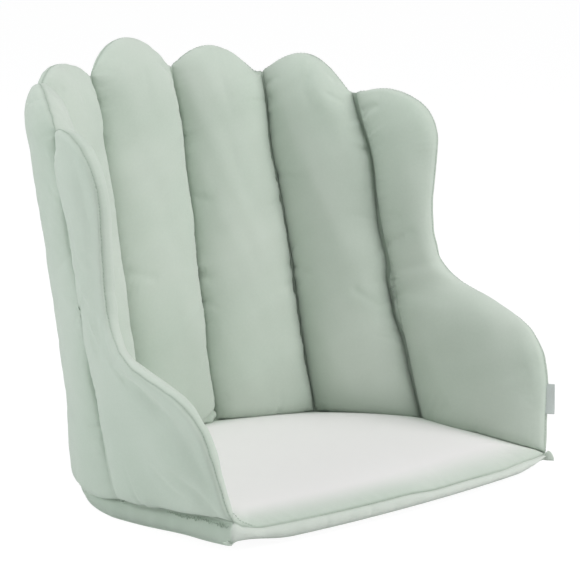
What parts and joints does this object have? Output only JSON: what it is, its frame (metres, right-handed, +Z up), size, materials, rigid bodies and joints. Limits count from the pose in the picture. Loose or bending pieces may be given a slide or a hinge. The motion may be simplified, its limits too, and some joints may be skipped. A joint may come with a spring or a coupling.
{
  "type": "baby support seat",
  "caption": "Soft padded support seat with a scalloped, channelled wrap-around back, two wings and a crowned cushion.",
  "frame": {"origin": "on the flat underside of the seat, half way between the front corners and the rear seam, on the left-right centre line", "axes": "+X to the right as seen from the open front, -Y towards the open front, +Z up"},
  "size_m": [0.4202, 0.3654, 0.3606],
  "materials": {
    "wall_fabric": "matt fine plain weave, pale sage",
    "seat_fabric": "matt fine plain weave, pale sage",
    "wadding": "loose white polyester wadding",
    "foam": "open-cell foam pad",
    "seam_cloth": "overlocked seam allowance of the same cloth",
    "tab_ribbon": "plain woven ribbon, bare"
  },
  "bodies": {
    "root": {"channel_1_fill": "wadding", "channel_1_front_cover": "wall_fabric", "channel_1_rear_cover": "wall_fabric", "channel_2_fill": "wadding", "channel_2_front_cover": "wall_fabric", "channel_2_rear_cover": "wall_fabric", "channel_3_fill": "wadding", "channel_3_front_cover": "wall_fabric", "channel_3_rear_cover": "wall_fabric", "channel_4_fill": "wadding", "channel_4_front_cover": "wall_fabric", "channel_4_rear_cover": "wall_fabric", "channel_5_fill": "wadding", "channel_5_front_cover": "wall_fabric", "channel_5_rear_cover": "wall_fabric", "channel_seam_1": "seam_cloth", "channel_seam_2": "seam_cloth", "channel_seam_3": "seam_cloth", "channel_seam_4": "seam_cloth", "channel_seam_5": "seam_cloth", "channel_seam_6": "seam_cloth", "seat_bottom_cover": "seat_fabric", "seat_foam": "foam", "seat_front_band": "seat_fabric", "seat_left_band": "seat_fabric", "seat_rear_band": "seat_fabric", "seat_right_band": "seat_fabric", "seat_top_cover": "seat_fabric", "side_tab": "tab_ribbon", "wall_base_seam": "seam_cloth", "wing_left_fill": "wadding", "wing_left_inner_cover": "wall_fabric", "wing_left_outer_cover": "wall_fabric", "wing_right_fill": "wadding", "wing_right_inner_cover": "wall_fabric", "wing_right_outer_cover": "wall_fabric"}
  },
  "joints": []
}
